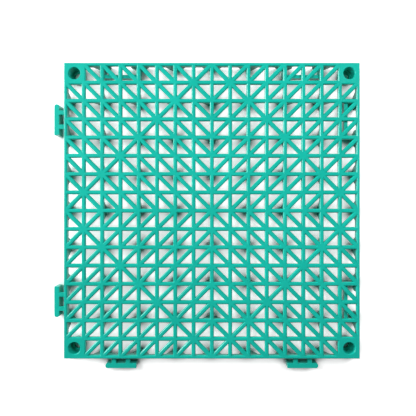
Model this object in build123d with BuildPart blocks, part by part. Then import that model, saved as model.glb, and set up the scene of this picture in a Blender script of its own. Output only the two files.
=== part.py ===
"""Interlocking utility floor tile: one moulded piece, lying deck up on the floor.

Millimetres, +Z up. The origin is the middle of the tile on the floor plane, under the centre foot.
Tabs stand on the -X and -Y sides; the sockets that take them are on the +X and +Y sides.
"""
import os
from math import sqrt

from build123d import *

# Overall sizes
tile_side = 300.0
tile_height = 16.0
bays = 8
cells = 2 * bays

# Deck lattice
deck_depth = 3.0
bar_width = 4.1
slant_width = 4.4
rim_width = 3.4
rim_round = 1.0
deck_bottom = tile_height - deck_depth
line_inset = rim_width - bar_width / 2
pitch = (tile_side - 2 * line_inset) / cells

# Arched ribs under every second line, with a foot at each crossing
rib_width = 2.4
foot_half = 4.4
crown_cover = 2.5
arch_half = pitch - foot_half
arch_rise = deck_bottom - crown_cover
crown_half = 0.60 * arch_half

# Corner posts and sunk screw holes
screw_hole_radius = 3.6
head_bore_radius = 5.9
mouth_width = 0.9
seat_thickness = 3.0
post_radius = head_bore_radius + 2.25
screw_spacing = (cells - 1) * pitch

# Clearances of the joint between two tiles
joint_gap = 0.4
hook_play = 2.0
end_play = 1.6
neck_play = 0.9
lift_play = 0.4
wall_play = 0.8

# Tabs: a long head carried on two necks
tab_offset = (bays - 3) * pitch
tab_gap = joint_gap + rim_width + hook_play
head_width = 5.0
head_length = 2 * pitch - rib_width - 2 * end_play
head_top = deck_bottom - lift_play
head_bottom = 1.0
head_nose = 2.2
neck_width = 4.6
neck_spacing = 14.4
neck_bottom = head_top - 4.3
tab_reach = tab_gap + head_width

# Sockets: a notch in the rim, two cheeks and a back wall
notch_width = neck_spacing + neck_width + 2 * neck_play
back_face = tab_reach + wall_play
back_thickness = 3.6
back_bottom = deck_bottom - 5.7
socket_depth = back_face + back_thickness

# Positions
half_side = tile_side / 2
lines = [line_inset - half_side + k * pitch for k in range(cells + 1)]
rib_lines = lines[2:-1:2]
arch_lines = lines[1::2]
cell_half = (pitch - bar_width) / 2
slant_cut = slant_width / sqrt(2)
standing = (Align.CENTER, Align.MIN, Align.MIN)


def leans_back(column, row):
    """True where the cell's slanting bar falls from left to right, seen from above."""
    outward = (column < bays) != (row < bays)
    on_ring = min(column, cells - 1 - column) + min(row, cells - 1 - row) == bays - 1
    return outward != on_ring


def opening_spots(turn):
    """Middles of the cells that have an opening in this quarter turn; the corner cells stay solid."""
    ends = (0, cells - 1)
    return [
        (lines[column] + pitch / 2, lines[row] + pitch / 2)
        for column in range(cells)
        for row in range(cells)
        if not (column in ends and row in ends) and leans_back(column, row) == (turn % 2 == 0)
    ]


def opening_corners(turn):
    """Corners of one triangular opening about its cell's middle, turned in quarter turns."""
    short = slant_cut - cell_half
    corners = [(cell_half, cell_half), (short, cell_half), (cell_half, short)]
    for _ in range(turn):
        corners = [(-y, x) for x, y in corners]
    return corners


def stations(face):
    """Joint frames on the sides at this offset: X along the side, Y the way a tab points."""
    upright = [Location((face, sign * tab_offset, 0), (0, 0, 90)) for sign in (-1, 1)]
    level = [Location((sign * tab_offset, face, 0), (0, 0, 180)) for sign in (-1, 1)]
    return upright + level


with BuildPart() as ribs:
    # Rim and ribs, standing on the floor
    with BuildSketch():
        Rectangle(tile_side, tile_side)
        Rectangle(tile_side - 2 * rim_width, tile_side - 2 * rim_width, mode=Mode.SUBTRACT)
        with Locations(*[(line, 0) for line in rib_lines]):
            Rectangle(rib_width, tile_side - rim_width)
        with Locations(*[(0, line) for line in rib_lines]):
            Rectangle(tile_side - rim_width, rib_width)
    extrude(amount=deck_bottom)

    # Arches between the feet, cut right across both ways
    arch_corners = [(arch_half, 0), (crown_half, arch_rise), (-crown_half, arch_rise), (-arch_half, 0)]
    for section in (Plane.XZ, Plane.YZ):
        with BuildSketch(section):
            with Locations(*[(line, 0) for line in arch_lines]):
                Polygon(*arch_corners, align=None)
        extrude(amount=half_side, both=True, mode=Mode.SUBTRACT)

with BuildPart() as fittings:
    # Corner posts
    with GridLocations(screw_spacing, screw_spacing, 2, 2):
        Cylinder(post_radius, deck_bottom, align=(Align.CENTER, Align.CENTER, Align.MIN))

    # Socket cheeks and back walls
    with Locations(*stations(half_side)):
        with Locations((-pitch, 0, 0), (pitch, 0, 0)):
            Box(rib_width, socket_depth, deck_bottom, align=standing)
        with Locations((0, back_face, back_bottom)):
            Box(2 * pitch, back_thickness, deck_bottom - back_bottom, align=standing)

    # Tab panels in the rim, and necks
    with Locations(*stations(-half_side)):
        with Locations((0, -rim_width, neck_bottom)):
            Box(2 * pitch, rim_width, deck_bottom - neck_bottom, align=standing)
        with Locations((-neck_spacing / 2, 0, neck_bottom), (neck_spacing / 2, 0, neck_bottom)):
            Box(neck_width, tab_reach - head_width / 2, head_top - neck_bottom, align=standing)

    # Tab heads, rounded at the end towards the tile's corner
    with BuildSketch(Plane.XY.offset(head_bottom)) as heads:
        with Locations(*stations(-half_side)):
            with Locations((0, tab_gap + head_width / 2)):
                Rectangle(head_length, head_width)
        fillet(heads.vertices().filter_by(lambda v: min(abs(v.X), abs(v.Y)) > tab_offset), head_nose)
    extrude(amount=head_top - head_bottom)

with BuildPart() as floor_tile:
    # Deck plate, rounded at the rim, on its ribs and fittings
    with BuildSketch(Plane.XY.offset(deck_bottom)):
        Rectangle(tile_side, tile_side)
    extrude(amount=deck_depth)
    fillet(floor_tile.edges().group_by(Axis.Z)[-1], rim_round)
    add([ribs.part, fittings.part])

    # Rim notches for the necks of the next tile
    with Locations(*stations(half_side)):
        Box(notch_width, rim_width, deck_bottom, align=standing, mode=Mode.SUBTRACT)

    # Screw holes, sunk for the heads and eased at the mouth
    with Locations(Plane.XY.offset(tile_height)):
        with GridLocations(screw_spacing, screw_spacing, 2, 2):
            CounterBoreHole(screw_hole_radius, head_bore_radius, tile_height - seat_thickness)
            Cone(head_bore_radius, head_bore_radius + mouth_width, mouth_width,
                 align=(Align.CENTER, Align.CENTER, Align.MAX), mode=Mode.SUBTRACT)

    # Drain openings, two in every cell but the corner ones
    with BuildSketch(Plane.XY.offset(deck_bottom)):
        for turn in range(4):
            with Locations(*opening_spots(turn)):
                Polygon(*opening_corners(turn), align=None)
    extrude(amount=deck_depth, mode=Mode.SUBTRACT)

floor_tile.part.label = "floor_tile"
os.makedirs("parts", exist_ok=True)
export_step(floor_tile.part, "parts/floor_tile.step")
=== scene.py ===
"""Interlocking utility floor tile: the moulded lattice on a white floor, seen from straight above."""
from math import radians

import bmesh
import bpy
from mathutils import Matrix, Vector


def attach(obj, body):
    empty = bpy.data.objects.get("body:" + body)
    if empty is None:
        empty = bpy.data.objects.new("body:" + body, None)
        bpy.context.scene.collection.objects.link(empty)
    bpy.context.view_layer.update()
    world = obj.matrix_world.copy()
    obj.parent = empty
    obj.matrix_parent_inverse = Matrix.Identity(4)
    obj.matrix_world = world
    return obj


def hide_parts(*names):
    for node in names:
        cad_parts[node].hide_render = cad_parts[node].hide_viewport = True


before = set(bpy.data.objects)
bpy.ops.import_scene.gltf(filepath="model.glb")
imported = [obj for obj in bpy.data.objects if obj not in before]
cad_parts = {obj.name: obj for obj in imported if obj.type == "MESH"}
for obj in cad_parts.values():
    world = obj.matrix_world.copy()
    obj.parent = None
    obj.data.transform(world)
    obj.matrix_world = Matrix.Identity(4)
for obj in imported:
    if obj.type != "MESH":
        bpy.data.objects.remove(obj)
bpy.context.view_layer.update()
scene = bpy.context.scene
MM = 0.001
WHITE = (1, 1, 1, 1)

# Eased edges: how far, in how many steps, and how round (0.25 is a flat slope, 0.5 a quarter circle)
DECK_EASE = 1.10 * MM
TAB_EASE = 0.40 * MM
EASE_STEPS = 4
EASE_FORM = 0.30

# Mesh limits: points to weld, facets to join, edges to ease, and edges to shade as smooth
WELD = 0.002 * MM
FLAT = radians(1)
SHARP = radians(58)
SMOOTH_LEVEL = radians(50)
SMOOTH_OTHER = radians(20)

# Plastic: the two ends of its mottled colour, its range of roughness, and its grain
GREEN_DEEP = (0.006, 0.460, 0.362, 1)
GREEN_PALE = (0.009, 0.530, 0.424, 1)
MOTTLE_FROM, MOTTLE_TO = 0.30, 0.70
ROUGH_LEAST, ROUGH_MOST = 0.26, 0.38
GRAIN_DEPTH = 0.05 * MM
GRAIN_STRENGTH = 0.12
PLASTIC_IOR = 1.49

# Floor: white where the camera sees it and grey for the light it throws back.
# What the camera sees also glows with painted light, fully where it lies open, and the glow fades into
# painted shade where the tile shuts it in.
FLOOR_REACH = 4.0
FLOOR_DROP = 0.05 * MM
FLOOR_SEEN = (0.95, 0.95, 0.95, 1)
FLOOR_UNSEEN = (0.25, 0.25, 0.25, 1)
FLOOR_ROUGH = 0.9
FLOOR_PAINTED_GLOW = 0.66
FLOOR_NEAR = 12 * MM
FLOOR_SHUT, FLOOR_OPEN = 0.55, 0.95

# Lamps: name, place, width, power in watts, and whether it shows in reflections.
# A soft lamp on the upper left, a low one far to the left, and a wide fill on the right.
LAMPS = [
    ("softbox", Vector((-353, 198, 620)) * MM, 280 * MM, 2.2, False),
    ("side", Vector((-1400, 430, 420)) * MM, 650 * MM, 25.0, True),
    ("fill", Vector((480, 330, 520)) * MM, 400 * MM, 3.2, False),
]
SKY = 0.08

# Camera: straight down, as high as the shift between deck and floor in the photo gives
CAMERA_AT = (-3.9 * MM, 2.75 * MM, 452 * MM)
CAMERA_LENS = 37.28
CAMERA_NEAR = 10 * MM


def ease(bm, offset, chosen):
    """Eases the sharp outer edges of a mesh whose middle the choice takes."""
    edges = [e for e in bm.edges if e.calc_face_angle_signed() > SHARP]
    edges = [e for e in edges if chosen((e.verts[0].co + e.verts[1].co) / 2)]
    bmesh.ops.bevel(bm, geom=edges, offset=offset, offset_type="OFFSET", segments=EASE_STEPS,
                    profile=EASE_FORM, affect="EDGES", clamp_overlap=False, loop_slide=True)


def moulded_copy(name, source):
    """A copy of a CAD mesh with its flat facets joined and the edges of its deck and tabs eased."""
    bm = bmesh.new()
    bm.from_mesh(source.data)
    bmesh.ops.remove_doubles(bm, verts=bm.verts, dist=WELD)
    bmesh.ops.dissolve_limit(bm, angle_limit=FLAT, verts=bm.verts, edges=bm.edges)
    top = max(v.co.z for v in bm.verts) - WELD
    side = -max(v.co.x for v in bm.verts) - WELD
    ease(bm, TAB_EASE, lambda middle: min(middle.x, middle.y) < side)
    ease(bm, DECK_EASE, lambda middle: middle.z > top)

    # Eased slopes shade smoothly along their level edges, but not round the corners of an opening
    for face in bm.faces:
        face.smooth = True
    for edge in bm.edges:
        level = abs(edge.verts[0].co.z - edge.verts[1].co.z) < WELD
        edge.smooth = edge.calc_face_angle() < (SMOOTH_LEVEL if level else SMOOTH_OTHER)

    mesh = bpy.data.meshes.new(name)
    bm.to_mesh(mesh)
    bm.free()
    piece = bpy.data.objects.new(name, mesh)
    scene.collection.objects.link(piece)
    piece.modifiers.new("flat_faces_lead", "WEIGHTED_NORMAL").keep_sharp = True
    return piece


def node(tree, kind, at, **values):
    """A new shader node; values with the name of an input set that input, others set properties."""
    made = tree.nodes.new(kind)
    made.location = at
    for key, value in values.items():
        socket = made.inputs.get(key.replace("_", " "))
        if socket is not None:
            socket.default_value = value
        else:
            setattr(made, key, value)
    return made


def new_material(name):
    """A new node material, with its node tree and its Principled shader."""
    material = bpy.data.materials.new(name)
    material.use_nodes = True
    return material, material.node_tree, material.node_tree.nodes["Principled BSDF"]


def plastic(name):
    """Teal moulded plastic: satin, slightly mottled, with a fine grain."""
    material, tree, shader = new_material(name)
    link = tree.links.new
    shader.inputs["IOR"].default_value = PLASTIC_IOR
    place = node(tree, "ShaderNodeTexCoord", (-1200, 0))

    cloud = node(tree, "ShaderNodeTexNoise", (-900, 250), Scale=22.0, Detail=4.0, Roughness=0.55)
    tint = node(tree, "ShaderNodeValToRGB", (-600, 250))
    deep, pale = tint.color_ramp.elements
    deep.position, deep.color = MOTTLE_FROM, GREEN_DEEP
    pale.position, pale.color = MOTTLE_TO, GREEN_PALE
    link(cloud.outputs["Fac"], tint.inputs["Fac"])
    link(tint.outputs["Color"], shader.inputs["Base Color"])

    gloss = node(tree, "ShaderNodeTexNoise", (-900, -50), Scale=160.0, Detail=3.0, Roughness=0.6)
    satin = node(tree, "ShaderNodeMapRange", (-600, -50), To_Min=ROUGH_LEAST, To_Max=ROUGH_MOST)
    link(gloss.outputs["Fac"], satin.inputs["Value"])
    link(satin.outputs["Result"], shader.inputs["Roughness"])

    grain = node(tree, "ShaderNodeTexNoise", (-900, -350), Scale=2600.0, Detail=2.0, Roughness=0.5)
    bump = node(tree, "ShaderNodeBump", (-600, -350), Strength=GRAIN_STRENGTH, Distance=GRAIN_DEPTH)
    link(grain.outputs["Fac"], bump.inputs["Height"])
    link(bump.outputs["Normal"], shader.inputs["Normal"])

    for texture in (cloud, gloss, grain):
        link(place.outputs["Object"], texture.inputs["Vector"])
    return material


def floor_white(name):
    """Pale matt floor that keeps shadows; where it lies open, a painted glow makes the camera see it
    as white, and the glow fades into painted shade near the tile.
    """
    material, tree, unseen = new_material(name)
    link = tree.links.new
    unseen.inputs["Base Color"].default_value = FLOOR_UNSEEN
    unseen.inputs["Roughness"].default_value = FLOOR_ROUGH

    # What is seen: lit white, plus a painted glow that fades into painted shade where the tile is near
    matt = node(tree, "ShaderNodeBsdfDiffuse", (-350, -200), Color=FLOOR_SEEN)
    openness = node(tree, "ShaderNodeAmbientOcclusion", (-600, -400), Distance=FLOOR_NEAR, samples=16)
    painted_glow_fade = node(tree, "ShaderNodeMapRange", (-350, -400),
                From_Min=FLOOR_SHUT, From_Max=FLOOR_OPEN, To_Max=FLOOR_PAINTED_GLOW)
    glow = node(tree, "ShaderNodeEmission", (-100, -400), Color=WHITE)
    link(openness.outputs["AO"], painted_glow_fade.inputs["Value"])
    link(painted_glow_fade.outputs["Result"], glow.inputs["Strength"])
    both = node(tree, "ShaderNodeAddShader", (200, -200))
    link(matt.outputs["BSDF"], both.inputs[0])
    link(glow.outputs["Emission"], both.inputs[1])

    # Who sees it: the camera, directly or by reflection or through something clear, so the painted
    # glow also shows in reflections
    path = node(tree, "ShaderNodeLightPath", (-600, 500))
    seen = node(tree, "ShaderNodeMath", (-350, 500), operation="MAXIMUM")
    link(path.outputs["Is Camera Ray"], seen.inputs[0])
    link(path.outputs["Is Glossy Ray"], seen.inputs[1])
    shown = node(tree, "ShaderNodeMath", (-100, 500), operation="MAXIMUM")
    link(seen.outputs["Value"], shown.inputs[0])
    link(path.outputs["Is Transmission Ray"], shown.inputs[1])
    pick = node(tree, "ShaderNodeMixShader", (450, 100))
    link(shown.outputs["Value"], pick.inputs["Fac"])
    link(unseen.outputs["BSDF"], pick.inputs[1])
    link(both.outputs["Shader"], pick.inputs[2])
    link(pick.outputs["Shader"], tree.nodes["Material Output"].inputs["Surface"])
    return material


# The tile itself
tile = moulded_copy("tile_moulding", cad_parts["floor_tile"])
tile.data.materials.append(plastic("green_plastic_moulded"))
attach(tile, "root")
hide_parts("floor_tile")

# Floor
floor_mesh = bpy.data.meshes.new("floor")
corners = [(-1, -1), (1, -1), (1, 1), (-1, 1)]
floor_mesh.from_pydata([(x * FLOOR_REACH, y * FLOOR_REACH, 0) for x, y in corners], [], [(0, 1, 2, 3)])
floor = bpy.data.objects.new("floor", floor_mesh)
floor.location.z = -FLOOR_DROP
floor.data.materials.append(floor_white("floor_white"))
scene.collection.objects.link(floor)

# Lamps, aimed at the middle of the tile
for name, at, width, power, shines in LAMPS:
    lamp = bpy.data.lights.new(name, "AREA")
    lamp.shape = "DISK"
    lamp.size = width
    lamp.energy = power
    lamp_object = bpy.data.objects.new(name, lamp)
    lamp_object.location = at
    lamp_object.visible_glossy = shines
    lamp_object.rotation_euler = (-at).to_track_quat("-Z", "Y").to_euler()
    scene.collection.objects.link(lamp_object)

# Sky
world = bpy.data.worlds.new("sky")
world.use_nodes = True
sky = world.node_tree.nodes["Background"]
sky.inputs["Color"].default_value = WHITE
sky.inputs["Strength"].default_value = SKY
scene.world = world

# Camera
camera = bpy.data.cameras.new("camera")
camera.lens = CAMERA_LENS
camera.clip_start = CAMERA_NEAR
camera_object = bpy.data.objects.new("camera", camera)
camera_object.location = CAMERA_AT
scene.collection.objects.link(camera_object)
scene.camera = camera_object
scene.view_settings.view_transform = "Standard"
